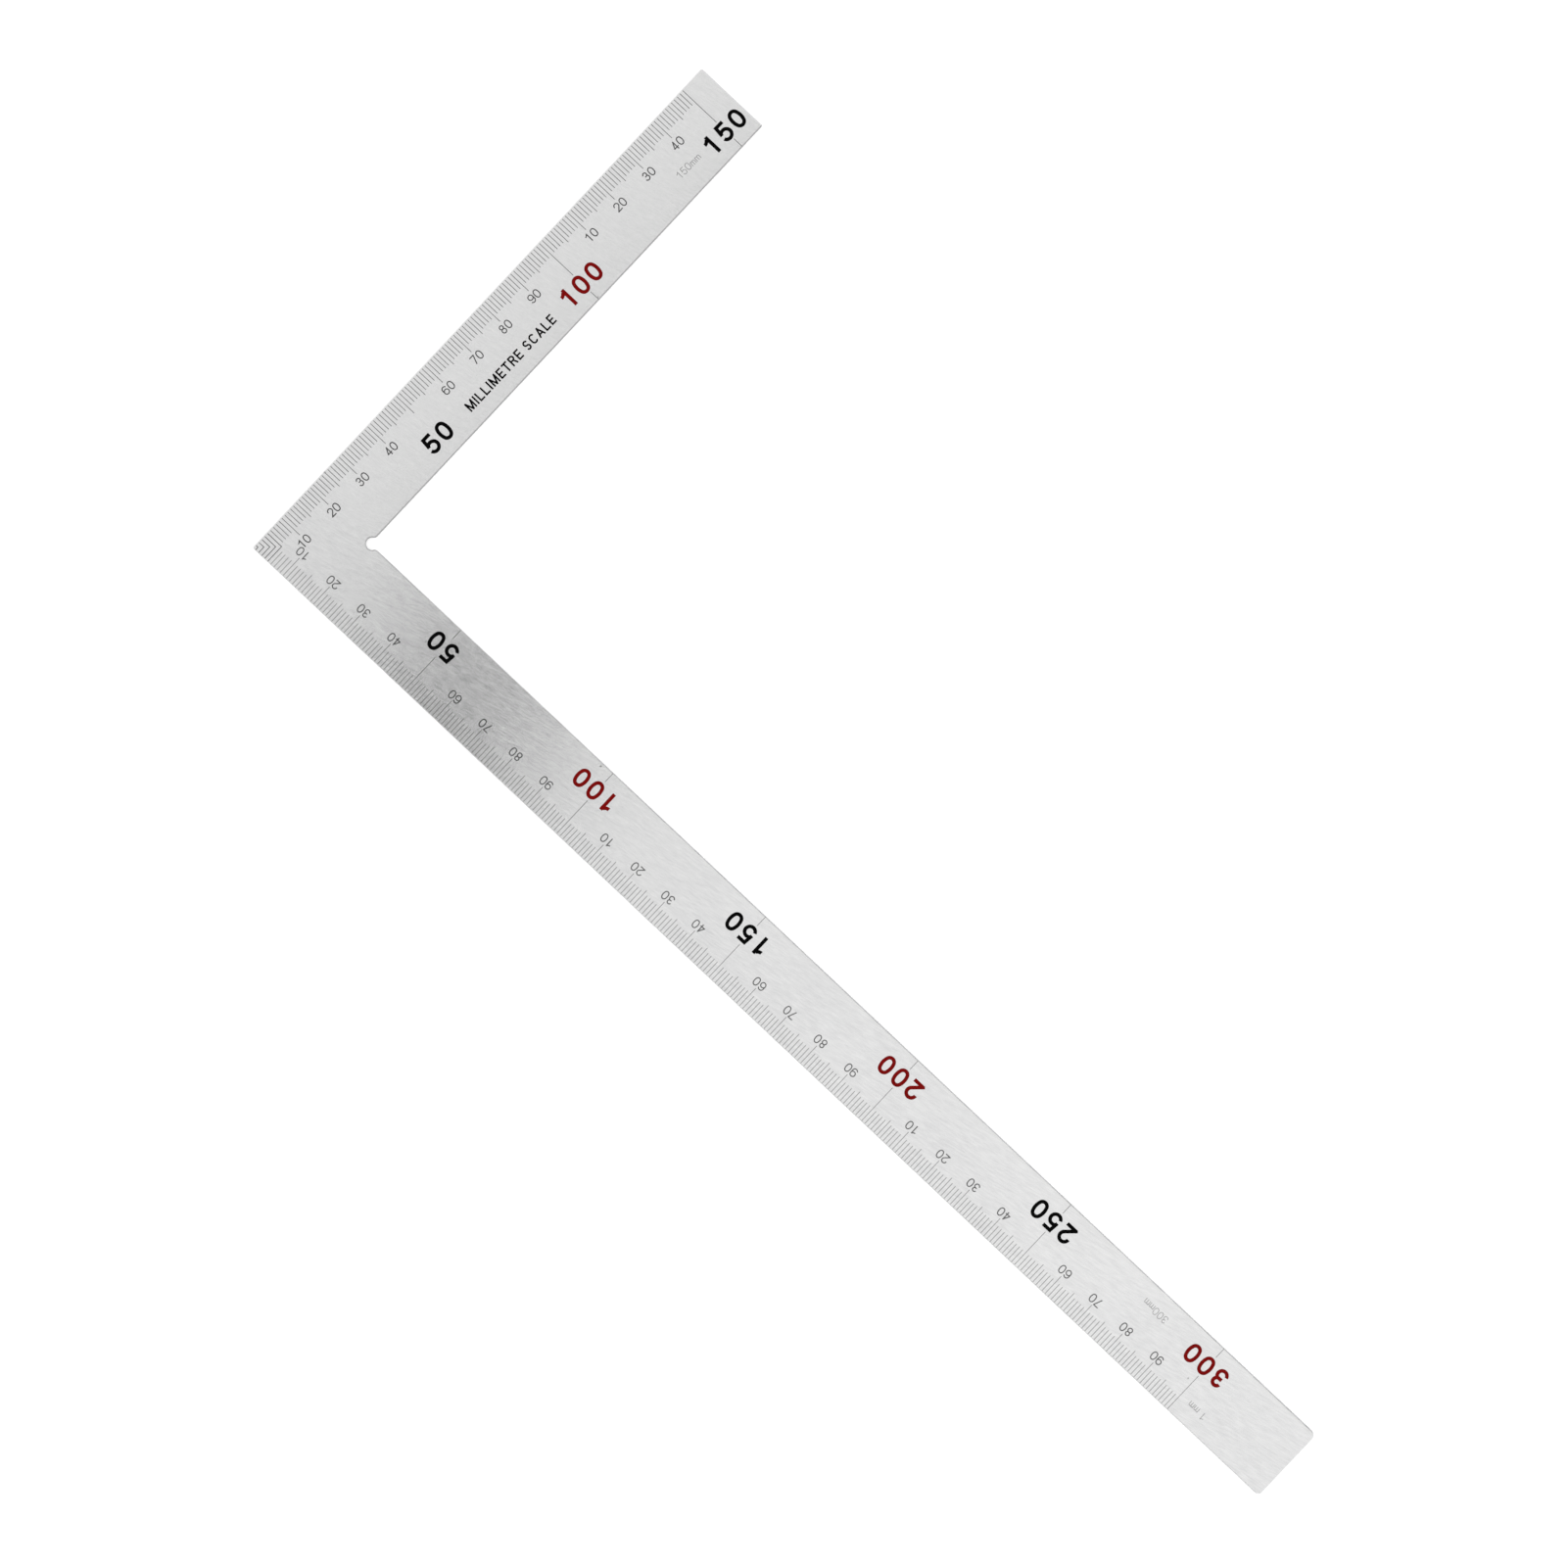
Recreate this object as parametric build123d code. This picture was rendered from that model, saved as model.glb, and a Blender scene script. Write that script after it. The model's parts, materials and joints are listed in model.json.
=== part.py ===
from build123d import *
import os
from functools import lru_cache
from math import atan2, degrees, sqrt

# Steel square ruler: one flat L-shaped blade with a millimetre scale along the outer edge of each arm.
# Every mark is a shallow recess etched into the face, with paint lying in it just below the surface.
#
# Millimetres. The origin is the outer corner, where both scales start, on the underside. +X runs along the
# long arm's outer edge, +Y along the short arm's outer edge, and +Z points out of the marked face.

# Blade
LONG_ARM = 330.0
SHORT_ARM = 157.0
WIDTH = 20.0
THICKNESS = 1.2
EDGE_BREAK = 0.25            # bevel round both faces
TIP_RADIUS = 0.4             # outer corner and the short arm's end corners
LONG_END_OUTER_RADIUS = 1.0
LONG_END_INNER_RADIUS = 1.5
RELIEF_RADIUS = 1.5          # round notch in the inner corner
RELIEF_OFFSET = 0.35         # its centre lies this far out from both inner edges
RELIEF_BLEND = 1.0           # rounding where the notch runs into the inner edges

# Etching and paint
RECESS_DEPTH = 0.08
RECESS_FLOOR = THICKNESS - RECESS_DEPTH
PAINT_DEPTH = 0.06

# Scales: distances across an arm are measured from its outer edge
LINE_WIDTH = 0.18
LONG_MARK_START = 0.1        # the long arm's marks run out through the bevel
SHORT_MARK_START = 0.4
CORNER_MARKS = 5             # ticks that meet the other scale's on the diagonal
LONG_SCALE = 300
LONG_TICKS = {1: 4.2, 5: 5.0, 10: 5.9}
LONG_LINES = (50, 100, 150, 200, 250, 300)
LONG_LINE_GAP = (11.0, 17.0)
SHORT_SCALE = 150
SHORT_TICKS = {1: 4.5, 5: 5.25, 10: 6.3}
SHORT_LINES = (100, 150)
SHORT_LINE_GAP = (11.5, 17.2)

# Lettering: height and pen width, then the gap between neighbouring characters
LARGE = (4.95, 0.9, 0.96)
SMALL = (2.3, 0.28, 0.24)
WORDING = (2.55, 0.43, 0.45)
UNIT = (1.9, 0.16, 0.22)
WORD_SPACE = 0.45            # share of the pen's height

LONG_LARGE_AT = 14.0         # middle of each row, across the arm
LONG_SMALL_AT = 7.25
LONG_SMALL_SHIFT = -0.09     # along the arm, from the numeral's own tick
LONG_UNIT_AT = (282.0, 15.2)
LONG_END_UNIT_AT = (305.4, 4.6)
LONG_LARGE_SHIFT = -0.33     # large numerals sit a little beside their line
SHORT_LARGE_AT = 14.4
SHORT_SMALL_AT = 8.1
SHORT_FIRST_SHIFT = -0.35    # along the arm, for the 10 that sits beside the long arm's 10
SHORT_UNIT_AT = (137.8, 13.7)
SHORT_LARGE_SHIFT = -0.38
SHORT_WORDING_AT = (74.5, 14.9)

# Each character is a set of pen strokes. The pen's middle runs over a height of 1, from 0 at the foot,
# and x is measured from the character's middle. A bar is (start, end), and a bow is (centre, radius,
# first angle, turn).
DIGIT_HALF = 0.31
ROUND_END = 0.27


def oval_bows(half_width, end_radius):
    """Four tangent arcs of an upright oval of height 1."""
    end_offset = 0.5 - end_radius
    side_offset = (end_offset**2 - (half_width - end_radius) ** 2) / (2 * (half_width - end_radius))
    side_radius = side_offset + half_width
    split = degrees(atan2(end_offset, side_offset))
    return [
        ((0, 0.5 + end_offset), end_radius, split, 180 - 2 * split),
        ((side_offset, 0.5), side_radius, 180 - split, 2 * split),
        ((0, 0.5 - end_offset), end_radius, 180 + split, 180 - 2 * split),
        ((-side_offset, 0.5), side_radius, -split, 2 * split),
    ]


CHARACTERS = {
    "0": (DIGIT_HALF, [], oval_bows(DIGIT_HALF, ROUND_END)),
    "1": (DIGIT_HALF, [((0.08, 0), (0.08, 1))], [((-0.3, 1.14), 0.36, -90, 62)]),
    "2": (
        DIGIT_HALF,
        [((0.208, 0.484), (-0.297, 0)), ((-0.26, 0), (0.28, 0))],
        [((0, 0.7), 0.3, -46, 231)],
    ),
    "3": (
        DIGIT_HALF,
        [((-0.07, 0.525), (0.04, 0.525))],
        [((0, 0.76), 0.24, -78, 248), ((0, 0.29), 0.29, -170, 225)],
    ),
    "4": (
        DIGIT_HALF,
        [((0.13, 0), (0.13, 1)), ((0.1, 0.95), (-0.26, 0.29)), ((-0.29, 0.25), (0.27, 0.25))],
        [],
    ),
    "5": (
        DIGIT_HALF,
        [((-0.2, 1), (0.23, 1)), ((-0.2, 1), (-0.255, 0.52))],
        [((-0.01, 0.315), 0.315, -160, 303)],
    ),
    "6": (
        DIGIT_HALF,
        [((-0.31, 0.35), (-0.31, 0.66))],
        [((0, 0.69), 0.31, 22, 158), ((0, 0.31), 0.31, 0, 360)],
    ),
    "7": (DIGIT_HALF, [((-0.27, 1), (0.27, 1)), ((0.29, 0.98), (-0.11, 0))], []),
    "8": (DIGIT_HALF, [], [((0, 0.76), 0.24, 0, 360), ((0, 0.27), 0.27, 0, 360)]),
    "9": (
        DIGIT_HALF,
        [((0.31, 0.34), (0.31, 0.65))],
        [((0, 0.31), 0.31, -158, 158), ((0, 0.69), 0.31, 0, 360)],
    ),
    "A": (
        0.33,
        [((-0.33, 0), (0, 1)), ((0, 1), (0.33, 0)), ((-0.2, 0.27), (0.2, 0.27))],
        [],
    ),
    "C": (
        0.31,
        [((-0.31, 0.35), (-0.31, 0.65))],
        [((0, 0.69), 0.31, 25, 155), ((0, 0.31), 0.31, 180, 155)],
    ),
    "E": (
        0.25,
        [
            ((-0.25, 0), (-0.25, 1)),
            ((-0.25, 0), (0.25, 0)),
            ((-0.25, 0.5), (0.2, 0.5)),
            ((-0.25, 1), (0.25, 1)),
        ],
        [],
    ),
    "I": (0, [((0, 0), (0, 1))], []),
    "L": (0.25, [((-0.25, 0), (-0.25, 1)), ((-0.25, 0), (0.25, 0))], []),
    "M": (
        0.4,
        [((-0.4, 0), (-0.4, 1)), ((-0.36, 0.95), (0, 0)), ((0, 0), (0.36, 0.95)), ((0.4, 0), (0.4, 1))],
        [],
    ),
    "R": (
        0.29,
        [
            ((-0.29, 0), (-0.29, 1)),
            ((-0.29, 1), (0.04, 1)),
            ((-0.29, 0.5), (0.04, 0.5)),
            ((0.08, 0.5), (0.29, 0)),
        ],
        [((0.04, 0.75), 0.25, -90, 180)],
    ),
    "S": (0.29, [], [((0, 0.745), 0.255, 20, 250), ((0, 0.245), 0.245, -160, 250)]),
    "T": (0.3, [((-0.3, 1), (0.3, 1)), ((0, 0), (0, 1))], []),
    "m": (
        0.34,
        [((-0.34, 0), (-0.34, 0.6)), ((0, 0), (0, 0.43)), ((0.34, 0), (0.34, 0.43))],
        [((-0.17, 0.43), 0.17, 0, 180), ((0.17, 0.43), 0.17, 0, 180)],
    ),
}


def bar(start, end, pen):
    """Straight stroke from start to end, with square ends half a pen width beyond them."""
    run = Vector(end) - Vector(start)
    middle = (Vector(start) + Vector(end)) / 2
    return Pos(middle) * Rot(0, 0, degrees(atan2(run.Y, run.X))) * Rectangle(run.length + pen, pen)


def bow(centre, radius, first_angle, turn, pen):
    """Round stroke along an arc, cut off square at its ends."""
    inner_radius = radius - pen / 2
    outer_radius = radius + pen / 2
    if turn == 360:
        return Pos(centre) * (Circle(outer_radius) - Circle(inner_radius))
    outer = CenterArc((0, 0), outer_radius, first_angle, turn)
    inner = CenterArc((0, 0), inner_radius, first_angle, turn)
    ends = [Line(outer @ 0, inner @ 0), Line(outer @ 1, inner @ 1)]
    return Pos(centre) * make_face([outer, inner, *ends])


@lru_cache(maxsize=None)
def character(name, height, pen):
    """One character about its own middle line, its foot at y = 0 and trimmed level at head and foot."""
    size = height - pen
    half_width, bars, bows = CHARACTERS[name]
    strokes = [bar(Vector(start) * size, Vector(end) * size, pen) for start, end in bars]
    strokes += [bow(Vector(centre) * size, radius * size, *angles, pen) for centre, radius, *angles in bows]
    shape = Sketch() + strokes
    limit = Rectangle(4 * height, height)
    return Pos(0, pen / 2) * (shape & (Pos(0, size / 2) * limit))


def line_of_text(text, height, pen, gap):
    """Characters side by side along +X, with the whole line's middle at the origin."""
    size = height - pen
    placed = []
    reach = 0
    for name in text:
        if name == " ":
            reach += WORD_SPACE * size
            continue
        half_box = CHARACTERS[name][0] * size + pen / 2
        placed.append(Pos(reach + half_box, -height / 2) * character(name, height, pen))
        reach += 2 * half_box + gap
    middle = (reach - gap) / 2
    return [Pos(-middle, 0) * shape for shape in placed]


def long_text(text, style, along, across):
    """Text on the long arm, read with the outer edge at the top."""
    place = Pos(along, across) * Rot(0, 0, 180)
    return [place * shape for shape in line_of_text(text, *style)]


def short_text(text, style, along, across):
    """Text on the short arm, read with the outer edge at the top."""
    place = Pos(across, along) * Rot(0, 0, 90)
    return [place * shape for shape in line_of_text(text, *style)]


def long_line(along, start, end):
    """Thin line across the long arm."""
    return Pos(along, (start + end) / 2) * Rectangle(LINE_WIDTH, end - start)


def short_line(along, start, end):
    """Thin line across the short arm."""
    return Pos((start + end) / 2, along) * Rectangle(end - start, LINE_WIDTH)


def tick_step(along, full_lines):
    """Which set of ticks a millimetre belongs to, or None for a full-width line."""
    if along in full_lines:
        return None
    if along % 10 == 0:
        return 10
    if along % 5 == 0:
        return 5
    return 1


def ticks(draw_line, start, scale_length, tick_lengths, full_lines, step):
    """All ticks of one length on a scale, apart from the corner's own marks."""
    places = range(CORNER_MARKS + 1, scale_length + 1)
    return [
        draw_line(along, start, tick_lengths[step])
        for along in places
        if tick_step(along, full_lines) == step
    ]


def full_width_lines(draw_line, start, full_lines, gap):
    """Lines from edge to edge, broken where the large numerals stand."""
    lower = [draw_line(along, start, gap[0]) for along in full_lines]
    upper = [draw_line(along, gap[1], WIDTH - LONG_MARK_START) for along in full_lines]
    return lower + upper


def corner_marks():
    """Nested L marks, where the ticks of both scales meet on the corner's diagonal."""
    marks = []
    for along in range(1, CORNER_MARKS + 1):
        end = along + LINE_WIDTH / 2
        marks.append(long_line(along, LONG_MARK_START, end) + short_line(along, SHORT_MARK_START, end))
    return marks


def small_numerals(write, scale_length, across, shift, first_shift):
    """Tens between the fifties, counted afresh from each hundred."""
    shapes = []
    for along in range(10, scale_length, 10):
        if along % 50:
            nudge = first_shift if along == 10 else shift
            shapes += write(str(along % 100), SMALL, along + nudge, across)
    return shapes


def large_numerals(write, scale_length, across, shift):
    """Each fifty as a pair of its number and its shapes."""
    return [
        (along, write(str(along), LARGE, along + shift, across))
        for along in range(50, scale_length + 1, 50)
    ]


def all_marks():
    """Every mark as a list of flat shapes, keyed by the name of its node."""
    marks = {"corner_marks": corner_marks()}
    for step in (1, 5, 10):
        marks[f"long_ticks_{step}mm"] = ticks(
            long_line, LONG_MARK_START, LONG_SCALE, LONG_TICKS, LONG_LINES, step
        )
        marks[f"short_ticks_{step}mm"] = ticks(
            short_line, SHORT_MARK_START, SHORT_SCALE, SHORT_TICKS, SHORT_LINES, step
        )
    marks["long_lines_50mm"] = full_width_lines(long_line, LONG_MARK_START, LONG_LINES, LONG_LINE_GAP)
    marks["short_lines_50mm"] = full_width_lines(
        short_line, SHORT_MARK_START, SHORT_LINES, SHORT_LINE_GAP
    )
    marks["long_small_numerals"] = small_numerals(
        long_text, LONG_SCALE, LONG_SMALL_AT, LONG_SMALL_SHIFT, LONG_SMALL_SHIFT
    )
    marks["short_small_numerals"] = small_numerals(
        short_text, SHORT_SCALE, SHORT_SMALL_AT, 0, SHORT_FIRST_SHIFT
    )
    for along, shapes in large_numerals(long_text, LONG_SCALE, LONG_LARGE_AT, LONG_LARGE_SHIFT):
        marks[f"long_numeral_{along}"] = shapes
    for along, shapes in large_numerals(short_text, SHORT_SCALE, SHORT_LARGE_AT, SHORT_LARGE_SHIFT):
        marks[f"short_numeral_{along}"] = shapes
    marks["long_unit_mark"] = long_text("300mm", UNIT, *LONG_UNIT_AT)
    marks["long_end_unit_mark"] = long_text("1 mm", UNIT, *LONG_END_UNIT_AT)
    marks["short_unit_mark"] = short_text("150mm", UNIT, *SHORT_UNIT_AT)
    marks["short_wording"] = short_text("MILLIMETRE SCALE", WORDING, *SHORT_WORDING_AT)
    return marks


def blade_outline():
    """The L from above, with its rounded corners and the notch in its inner corner."""
    low_corner = (Align.MIN, Align.MIN)
    arms = Rectangle(LONG_ARM, WIDTH, align=low_corner) + Rectangle(WIDTH, SHORT_ARM, align=low_corner)
    notch_centre = WIDTH + RELIEF_OFFSET
    outline = arms - Pos(notch_centre, notch_centre) * Circle(RELIEF_RADIUS)
    lip = notch_centre + sqrt(RELIEF_RADIUS**2 - RELIEF_OFFSET**2)
    roundings = [
        ((0, 0), TIP_RADIUS),
        ((0, SHORT_ARM), TIP_RADIUS),
        ((WIDTH, SHORT_ARM), TIP_RADIUS),
        ((LONG_ARM, 0), LONG_END_OUTER_RADIUS),
        ((LONG_ARM, WIDTH), LONG_END_INNER_RADIUS),
        ((lip, WIDTH), RELIEF_BLEND),
        ((WIDTH, lip), RELIEF_BLEND),
    ]
    for point, radius in roundings:
        outline = fillet(outline.vertices().sort_by_distance(point)[0], radius)
    return outline


def blank():
    """The plain blade before etching, with a small bevel round both faces."""
    plate = extrude(blade_outline(), THICKNESS)
    levels = plate.faces().filter_by(Axis.Z)
    return chamfer(levels.edges(), EDGE_BREAK)


def etched_blade(plate, marks):
    """The blade with a recess for every mark."""
    shapes = [shape for group in marks.values() for shape in group]
    cutters = [Pos(0, 0, RECESS_FLOOR) * extrude(shape, 2 * RECESS_DEPTH) for shape in shapes]
    return plate - cutters


def paint(plate, shapes):
    """Paint lying on each recess's floor, its top just below the face and its end flush with a bevel."""
    fills = [Pos(0, 0, RECESS_FLOOR) * extrude(shape, PAINT_DEPTH) for shape in shapes]
    return Compound(children=[solid for fill in fills for solid in (fill & plate).solids()])


marks = all_marks()
plate = blank()
pieces = {"blade": etched_blade(plate, marks)}
pieces |= {name: paint(plate, shapes) for name, shapes in marks.items()}
os.makedirs("parts", exist_ok=True)
for name, piece in pieces.items():
    export_step(piece, f"parts/{name}.step")
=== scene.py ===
import json
import math
import bpy
from mathutils import Matrix, Vector


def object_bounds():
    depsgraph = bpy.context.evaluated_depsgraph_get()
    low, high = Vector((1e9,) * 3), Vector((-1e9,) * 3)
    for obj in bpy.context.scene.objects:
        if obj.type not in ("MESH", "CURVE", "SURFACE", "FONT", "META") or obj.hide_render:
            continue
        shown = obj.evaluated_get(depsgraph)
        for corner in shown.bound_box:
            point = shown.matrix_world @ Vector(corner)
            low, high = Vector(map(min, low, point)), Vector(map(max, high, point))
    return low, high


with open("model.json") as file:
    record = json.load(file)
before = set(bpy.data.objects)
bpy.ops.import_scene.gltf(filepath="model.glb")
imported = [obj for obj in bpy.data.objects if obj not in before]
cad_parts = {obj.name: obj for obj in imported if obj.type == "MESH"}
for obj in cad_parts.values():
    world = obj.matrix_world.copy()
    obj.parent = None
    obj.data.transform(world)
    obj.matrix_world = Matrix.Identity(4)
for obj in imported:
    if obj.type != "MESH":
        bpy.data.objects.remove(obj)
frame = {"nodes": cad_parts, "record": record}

# Steel square ruler lying face up on a plain white floor, seen from above. Places on the blade are in
# millimetres from its outer corner, as they are read off its own scales. MM carries them into metres.

MM = 0.001

# Camera: it looks almost straight down, turned so that the long arm runs to the lower right.
AIM = Vector((131.47, 46.01, 1.2)) * MM
DISTANCE = 700 * MM
TILT_Y = math.radians(0.589)
TILT_X = math.radians(-0.562)
ROLL = math.radians(43.254)
FRAME_WIDTH = 374.22 * MM        # how much of the blade's plane the picture spans
SENSOR = 36.0

# Floor
FLOOR_SIZE = 6.0
FLOOR_GAP = 0.02 * MM
FLOOR_WHITE = 0.9
FLOOR_GLOW = 0.28

# Light: a bright ceiling all round, endlessly far away. A direction is given by where it meets a plane
# one unit overhead, as (x, y). A trend is (from, to, light at from, light at to).
LIGHT_LEVEL = 1.06
ACROSS_TREND = (-0.15, 0.16, 1.0, 1.12)
ALONG_TREND = (-0.07, 0.0, 0.98, 1.03)
LOWEST_RISE = 0.05               # keeps directions near the horizon from dividing by nothing
HORIZON_LEVEL = 0.15             # dim close to the horizon, which the blade's bevels reflect
HORIZON_TOP = 0.05               # rise of the direction where the dim part ends
LIGHT_TOP = 0.32                 # rise of the direction where the light is full
GAP_CENTRE = -0.11               # dark gap between two lights, reflected as a soft band on the long arm
GAP_LEFT = -0.146
GAP_RIGHT = -0.082
GAP_LEVEL = 0.0
BACKDROP_LEVEL = 1.2             # what the camera sees past the floor

# Steel: a pattern's size is in features per metre along the grain, across it and through the sheet.
GRAIN_ANGLE = math.radians(11)   # the brushing runs a little askew of the long arm
STROKE_SIZE = (330, 2300, 600)
HAIR_SIZE = (700, 8000, 900)
MOTTLE_SIZE = (330, 850, 600)
CLOUD_SIZE = 45
TONE_SPREAD = 0.15               # how far the mixed pattern strays from its middle
STEEL_DARK = (0.585, 0.585, 0.588)
STEEL_LIGHT = (0.715, 0.715, 0.712)
GLOSSIEST = 0.11
DULLEST = 0.22
BRUSHING_STRETCH = 0.95          # anisotropy of the gloss
BRUSHING_HEIGHT = 0.024 * MM
BRUSHING_BUMP = 0.8
SHORT_ARM_FROM = 12 * MM         # the short arm's painted light eases in between these two places
SHORT_ARM_TO = 30 * MM
SHORT_ARM_PAINTED_EVENNESS = 0.6         # painted light: the short arm's tone is drawn more even and a little lighter, standing in for how it reflects the light
SHORT_ARM_PAINTED_LIGHT = 0.045
STAINS = (                       # (x, y, radius, strength) of old nicks and specks in the face
    (96.7, 19.1, 0.32, 0.55),
    (298.6, 8.9, 0.28, 0.4),
    (0.4, 25.0, 0.4, 0.35),
    (19.4, 100.3, 0.3, 0.3),
)
STAIN_RAGGEDNESS = 3500          # features per metre

# Marks
PAINT_GRAIN_SIZE = 2600          # features per metre
PAINT_PATCH_SIZE = 420
PAINT_SHINE = 0.02
PAINT_HEIGHT = 0.01 * MM
PAINT_BUMP = 0.5
ETCHED_NODES = (                 # marks that are darkened steel and hold hardly any paint
    "long_ticks_1mm",
    "long_ticks_5mm",
    "long_ticks_10mm",
    "long_lines_50mm",
    "long_unit_mark",
    "long_end_unit_mark",
    "short_unit_mark",
)

cad_low, cad_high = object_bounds()


def grey(level):
    """A neutral colour."""
    return (level, level, level)


def new_material(name, base, metallic, roughness):
    """A material with a Principled shader, and the tools to build its nodes."""
    material = bpy.data.materials.new(name)
    material.use_nodes = True
    shader = material.node_tree.nodes["Principled BSDF"]
    shader.inputs["Base Color"].default_value = (*base, 1)
    shader.inputs["Metallic"].default_value = metallic
    shader.inputs["Roughness"].default_value = roughness
    return material, material.node_tree, shader


def add_node(tree, kind, **settings):
    """A shader node with its plain properties set."""
    node = tree.nodes.new(kind)
    for name, value in settings.items():
        setattr(node, name, value)
    return node


def object_place(tree, scale=(1, 1, 1), turn=0.0):
    """Object coordinates turned about Z and stretched, for a pattern with a direction."""
    coordinates = add_node(tree, "ShaderNodeTexCoord")
    turned = add_node(tree, "ShaderNodeMapping", vector_type="POINT")
    turned.inputs["Rotation"].default_value = (0, 0, -turn)
    stretched = add_node(tree, "ShaderNodeMapping", vector_type="POINT")
    stretched.inputs["Scale"].default_value = scale
    tree.links.new(coordinates.outputs["Object"], turned.inputs["Vector"])
    tree.links.new(turned.outputs["Vector"], stretched.inputs["Vector"])
    return stretched.outputs["Vector"]


def noise(tree, place, scale, detail, roughness=0.5):
    """Noise value, from 0 to 1."""
    node = add_node(tree, "ShaderNodeTexNoise")
    node.inputs["Scale"].default_value = scale
    node.inputs["Detail"].default_value = detail
    node.inputs["Roughness"].default_value = roughness
    tree.links.new(place, node.inputs["Vector"])
    return node.outputs["Fac"]


def grain_noise(tree, size, roughness):
    """Noise stretched along the brushing."""
    return noise(tree, object_place(tree, size, GRAIN_ANGLE), 1.0, 3, roughness)


def remap(tree, value, low, high, to_low, to_high, kind="LINEAR"):
    """Value carried from one range to another, clamped."""
    node = add_node(tree, "ShaderNodeMapRange", interpolation_type=kind)
    node.inputs["From Min"].default_value = low
    node.inputs["From Max"].default_value = high
    node.inputs["To Min"].default_value = to_low
    node.inputs["To Max"].default_value = to_high
    tree.links.new(value, node.inputs["Value"])
    return node.outputs["Result"]


def maths(tree, operation, first, second):
    """Two values, or a value and a number, put together."""
    node = add_node(tree, "ShaderNodeMath", operation=operation)
    for socket, value in zip(node.inputs, (first, second)):
        if isinstance(value, (int, float)):
            socket.default_value = value
        else:
            tree.links.new(value, socket)
    return node.outputs["Value"]


def blend_of(tree, parts):
    """Weighted sum of values, from (value, weight) pairs."""
    total = 0.0
    for value, weight in parts:
        total = maths(tree, "ADD", maths(tree, "MULTIPLY", value, weight), total)
    return total


def colour_between(tree, factor, first, second):
    """Colour that runs from first to second with the factor."""
    node = add_node(tree, "ShaderNodeMix", data_type="RGBA")
    node.inputs["A"].default_value = (*first, 1)
    node.inputs["B"].default_value = (*second, 1)
    tree.links.new(factor, node.inputs["Factor"])
    return node.outputs["Result"]


def darken(tree, colour, amount):
    """Colour taken towards black by an amount from 0 to 1."""
    node = add_node(tree, "ShaderNodeMix", data_type="RGBA")
    node.inputs["B"].default_value = (0, 0, 0, 1)
    tree.links.new(colour, node.inputs["A"])
    tree.links.new(amount, node.inputs["Factor"])
    return node.outputs["Result"]


def bump(tree, height, distance, strength):
    """Surface normal pushed about by a height."""
    node = add_node(tree, "ShaderNodeBump")
    node.inputs["Distance"].default_value = distance
    node.inputs["Strength"].default_value = strength
    tree.links.new(height, node.inputs["Height"])
    return node.outputs["Normal"]


def stains(tree):
    """How dark the old nicks and specks make each point of the face."""
    coordinates = add_node(tree, "ShaderNodeTexCoord")
    ragged = noise(tree, object_place(tree), STAIN_RAGGEDNESS, 2)
    total = 0.0
    for x, y, radius, strength in STAINS:
        distance = add_node(tree, "ShaderNodeVectorMath", operation="DISTANCE")
        distance.inputs[1].default_value = (x * MM, y * MM, cad_high.z)
        tree.links.new(coordinates.outputs["Object"], distance.inputs[0])
        uneven = maths(tree, "MULTIPLY", distance.outputs["Value"], maths(tree, "ADD", ragged, 0.5))
        spot = remap(tree, uneven, 0.4 * radius * MM, radius * MM, strength, 0.0, "SMOOTHSTEP")
        total = maths(tree, "MAXIMUM", spot, total)
    return total


def short_arm_painted_light_share(tree):
    """0 on the long arm and 1 on the short arm, easing from one to the other near the notch: where the
    painted light lies.
    """
    parts = add_node(tree, "ShaderNodeSeparateXYZ")
    coordinates = add_node(tree, "ShaderNodeTexCoord")
    tree.links.new(coordinates.outputs["Object"], parts.inputs["Vector"])
    return remap(tree, parts.outputs["Y"], SHORT_ARM_FROM, SHORT_ARM_TO, 0.0, 1.0, "SMOOTHSTEP")


def brushed_steel(name, dark, light):
    """Satin stainless steel with short fine brushing, a little uneven in tone and gloss, with painted
    light on the short arm.
    """
    material, tree, shader = new_material(name, light, 1.0, (GLOSSIEST + DULLEST) / 2)
    strokes = grain_noise(tree, STROKE_SIZE, 0.55)
    hairs = grain_noise(tree, HAIR_SIZE, 0.6)
    mottle = grain_noise(tree, MOTTLE_SIZE, 0.6)
    clouds = noise(tree, object_place(tree), CLOUD_SIZE, 3)
    pattern = blend_of(tree, ((strokes, 0.4), (hairs, 0.2), (mottle, 0.25), (clouds, 0.15)))
    # Painted light: on the short arm the tone is drawn more even and a little lighter, standing in for
    # how that arm reflects the light.
    painted_light_share = short_arm_painted_light_share(tree)
    contrast = remap(tree, painted_light_share, 0, 1, 1.0, SHORT_ARM_PAINTED_EVENNESS)
    swing = maths(tree, "MULTIPLY", maths(tree, "SUBTRACT", pattern, 0.5), contrast)
    tone = maths(tree, "ADD", swing, maths(tree, "MULTIPLY", painted_light_share, SHORT_ARM_PAINTED_LIGHT))
    steel = colour_between(tree, remap(tree, tone, -TONE_SPREAD, TONE_SPREAD, 0, 1), dark, light)
    tree.links.new(darken(tree, steel, stains(tree)), shader.inputs["Base Color"])
    gloss = remap(tree, tone, -TONE_SPREAD, TONE_SPREAD, GLOSSIEST, DULLEST)
    tree.links.new(gloss, shader.inputs["Roughness"])
    relief = blend_of(tree, ((strokes, 0.55), (hairs, 0.3), (mottle, 0.15)))
    tree.links.new(bump(tree, relief, BRUSHING_HEIGHT, BRUSHING_BUMP), shader.inputs["Normal"])
    shader.inputs["Anisotropic"].default_value = BRUSHING_STRETCH
    tangent = add_node(tree, "ShaderNodeCombineXYZ")
    tangent.inputs["Y"].default_value = 1.0
    tree.links.new(tangent.outputs["Vector"], shader.inputs["Tangent"])
    return material


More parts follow.
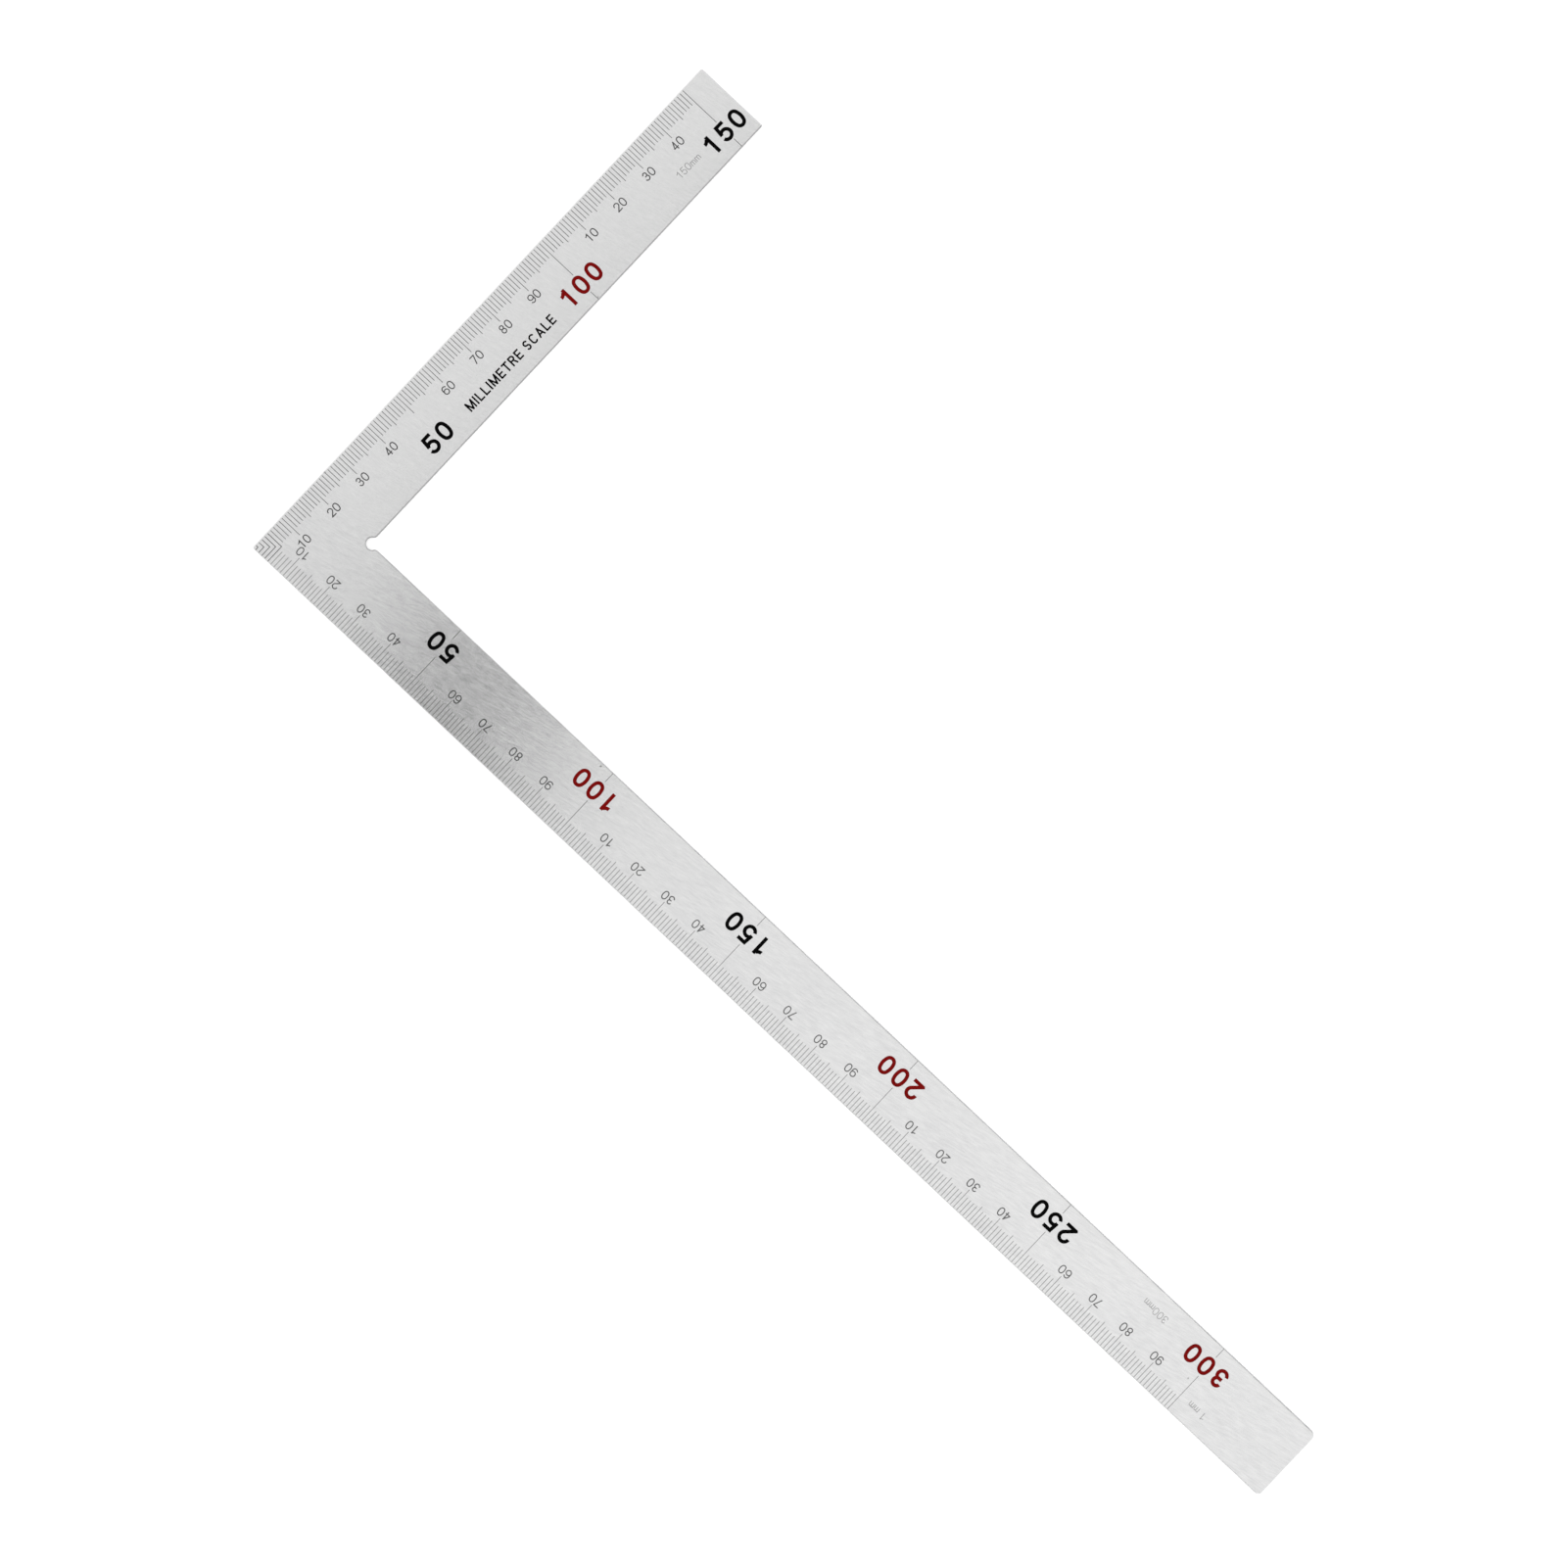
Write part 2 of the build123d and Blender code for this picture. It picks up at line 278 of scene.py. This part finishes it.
def etch_paint(name, dark, light, roughness):
    """Matt paint rubbed into an etched recess, thinner in places."""
    material, tree, shader = new_material(name, dark, 0.0, roughness)
    grain = noise(tree, object_place(tree), PAINT_GRAIN_SIZE, 4, 0.6)
    patches = noise(tree, object_place(tree), PAINT_PATCH_SIZE, 2)
    cover = blend_of(tree, ((grain, 0.5), (patches, 0.5)))
    colour = colour_between(tree, remap(tree, cover, 0.35, 0.7, 0, 1), dark, light)
    tree.links.new(colour, shader.inputs["Base Color"])
    matt = remap(tree, grain, 0.3, 0.7, roughness - 0.08, roughness + 0.08)
    tree.links.new(matt, shader.inputs["Roughness"])
    tree.links.new(bump(tree, grain, PAINT_HEIGHT, PAINT_BUMP), shader.inputs["Normal"])
    shader.inputs["Specular IOR Level"].default_value = PAINT_SHINE
    return material


def dress(nodes, record, materials):
    """Each CAD node takes the material of its own name, or else of its slot."""
    slots = {part["node"]: part["material_slot"] for part in record["subparts"]}
    for name, node in nodes.items():
        for slot in node.material_slots:
            slot.material = materials.get(name, materials[slots[name]])


def all_materials():
    """Every material, keyed by the CAD slot or the CAD node that wears it."""
    number_grey = etch_paint("number_grey_paint", grey(0.05), grey(0.11), 0.6)
    etched = brushed_steel("etched_steel", grey(0.24), grey(0.31))
    materials = {name: etched for name in ETCHED_NODES}
    materials["steel"] = brushed_steel("brushed_steel", STEEL_DARK, STEEL_LIGHT)
    materials["grey_paint"] = etch_paint("grey_paint", grey(0.15), grey(0.23), 0.6)
    materials["black_paint"] = etch_paint("black_paint", grey(0.0005), grey(0.002), 0.5)
    materials["red_paint"] = etch_paint("red_paint", (0.15, 0.002, 0.002), (0.21, 0.005, 0.004), 0.5)
    materials["long_small_numerals"] = brushed_steel("dark_etched_steel", grey(0.09), grey(0.15))
    materials["short_small_numerals"] = number_grey
    materials["corner_marks"] = number_grey
    return materials


def floor():
    """Plain white floor just under the blade, lit so strongly that it hardly shows a shadow."""
    half = FLOOR_SIZE / 2
    centre = (cad_low + cad_high) / 2
    height = cad_low.z - FLOOR_GAP
    signs = ((-1, -1), (1, -1), (1, 1), (-1, 1))
    corners = [(centre.x + x * half, centre.y + y * half, height) for x, y in signs]
    mesh = bpy.data.meshes.new("floor")
    mesh.from_pydata(corners, [], [(0, 1, 2, 3)])
    plane = bpy.data.objects.new("floor", mesh)
    bpy.context.scene.collection.objects.link(plane)
    material, tree, shader = new_material("floor_white", grey(FLOOR_WHITE), 0.0, 1.0)
    shader.inputs["Specular IOR Level"].default_value = 0.0
    shader.inputs["Emission Color"].default_value = (1, 1, 1, 1)
    shader.inputs["Emission Strength"].default_value = FLOOR_GLOW
    mesh.materials.append(material)


def studio_light():
    """Soft light from all round, dim near the horizon, with one dark gap overhead beside the camera."""
    world = bpy.data.worlds.new("studio")
    bpy.context.scene.world = world
    world.use_nodes = True
    tree = world.node_tree
    direction = add_node(tree, "ShaderNodeTexCoord").outputs["Generated"]
    parts = add_node(tree, "ShaderNodeSeparateXYZ")
    tree.links.new(direction, parts.inputs["Vector"])
    rise = parts.outputs["Z"]
    overhead = maths(tree, "MAXIMUM", rise, LOWEST_RISE)
    across = maths(tree, "DIVIDE", parts.outputs["X"], overhead)
    along = maths(tree, "DIVIDE", parts.outputs["Y"], overhead)
    left = remap(tree, across, GAP_LEFT, GAP_CENTRE, 1.0, GAP_LEVEL, "SMOOTHSTEP")
    right = remap(tree, across, GAP_CENTRE, GAP_RIGHT, GAP_LEVEL, 1.0, "SMOOTHSTEP")
    light = maths(tree, "MULTIPLY", maths(tree, "MAXIMUM", left, right), LIGHT_LEVEL)
    light = maths(tree, "MULTIPLY", light, remap(tree, across, *ACROSS_TREND))
    light = maths(tree, "MULTIPLY", light, remap(tree, along, *ALONG_TREND))
    height = remap(tree, rise, HORIZON_TOP, LIGHT_TOP, HORIZON_LEVEL, 1.0, "SMOOTHSTEP")
    light = maths(tree, "MULTIPLY", light, height)
    seen = add_node(tree, "ShaderNodeLightPath").outputs["Is Camera Ray"]
    shown = maths(tree, "MAXIMUM", light, maths(tree, "MULTIPLY", seen, BACKDROP_LEVEL))
    tree.links.new(shown, tree.nodes["Background"].inputs["Strength"])
    tree.nodes["Background"].inputs["Color"].default_value = (1, 1, 1, 1)


def camera():
    """The camera over the blade."""
    data = bpy.data.cameras.new("camera")
    data.sensor_width = SENSOR
    data.lens = SENSOR * DISTANCE / FRAME_WIDTH
    viewer = bpy.data.objects.new("camera", data)
    bpy.context.scene.collection.objects.link(viewer)
    tilt = Matrix.Rotation(TILT_Y, 4, "Y") @ Matrix.Rotation(TILT_X, 4, "X")
    turn = tilt @ Matrix.Rotation(ROLL, 4, "Z")
    viewer.matrix_world = Matrix.Translation(AIM + turn.to_3x3() @ Vector((0, 0, DISTANCE))) @ turn
    bpy.context.scene.camera = viewer


bpy.context.scene.view_settings.view_transform = "Standard"
dress(frame["nodes"], frame["record"], all_materials())
floor()
studio_light()
camera()
